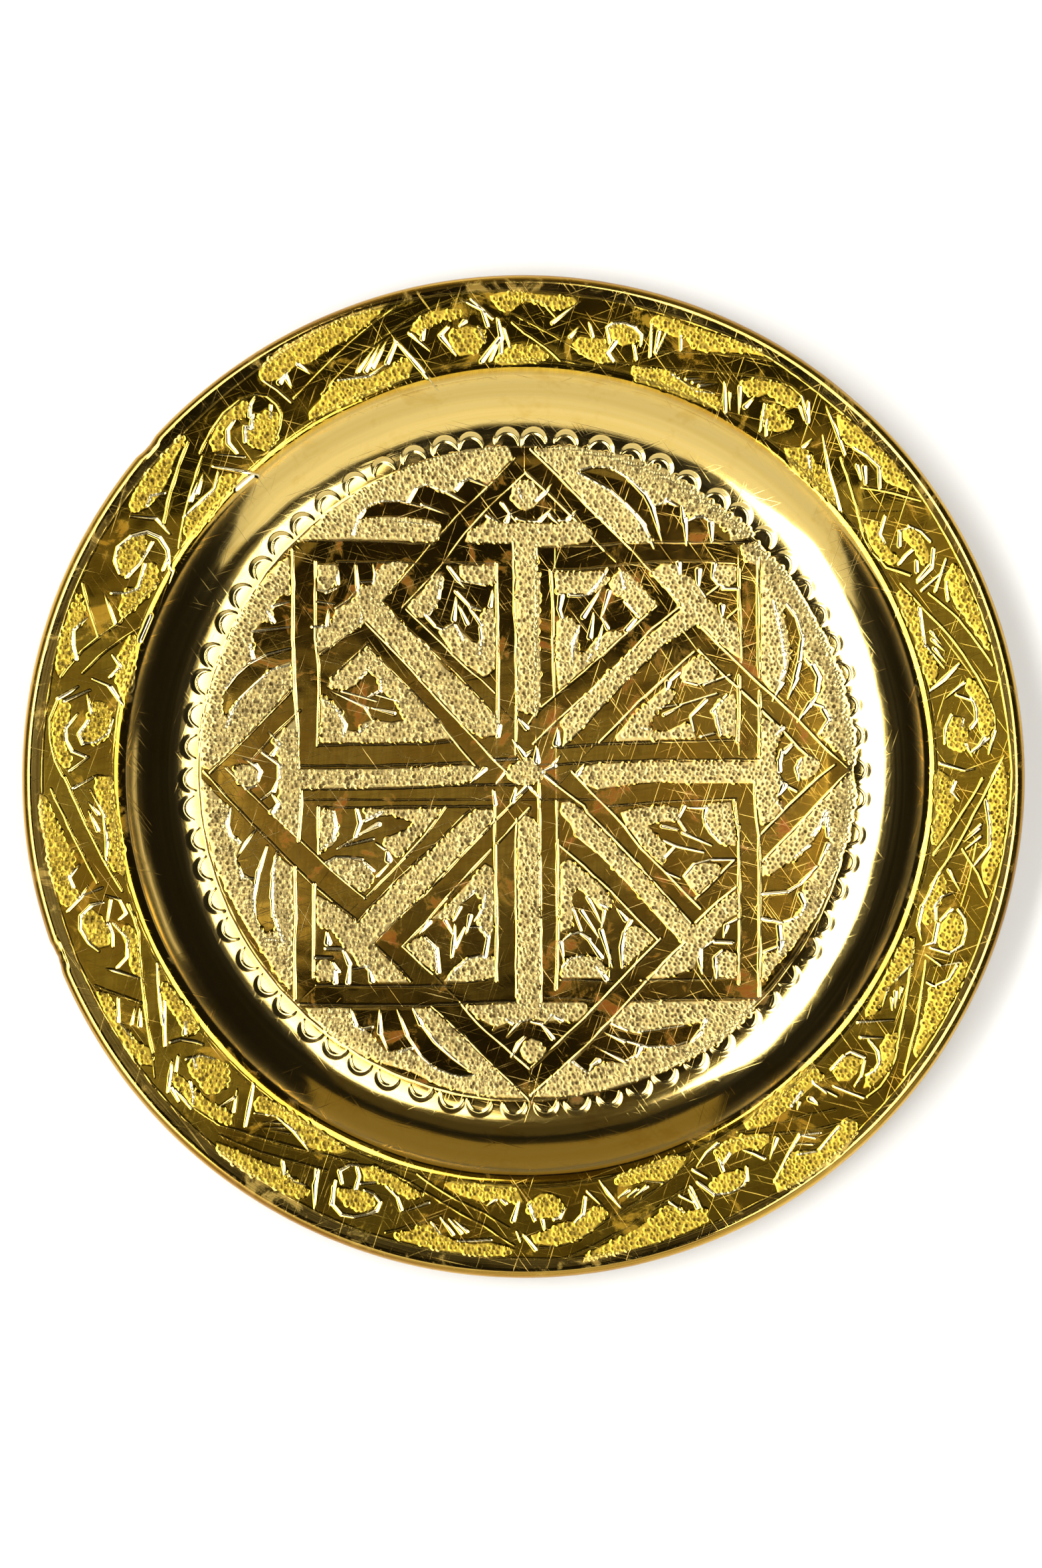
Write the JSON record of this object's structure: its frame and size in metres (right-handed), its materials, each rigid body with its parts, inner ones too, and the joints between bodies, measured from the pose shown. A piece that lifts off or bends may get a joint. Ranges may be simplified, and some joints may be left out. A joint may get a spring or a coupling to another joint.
{
  "type": "offering plate",
  "caption": "Shallow round hammered brass plate with a flat engraved well, hollow wall, broad engraved rim and a rolled edge turned over a stiffening wire.",
  "frame": {"origin": "on the table surface, under the middle of the plate's flat base", "axes": "+Z is the plate's axis and points up out of the well; the plate is round, so +X and +Y only fix the turn of its engraving"},
  "size_m": [0.25, 0.25, 0.0138],
  "materials": {
    "brass": "hand-polished, hand-engraved and punch-matted brass sheet, lightly tarnished",
    "wire": "drawn wire"
  },
  "bodies": {
    "root": {"plate_body": "brass", "rim_edge_wire": "wire"}
  },
  "joints": []
}
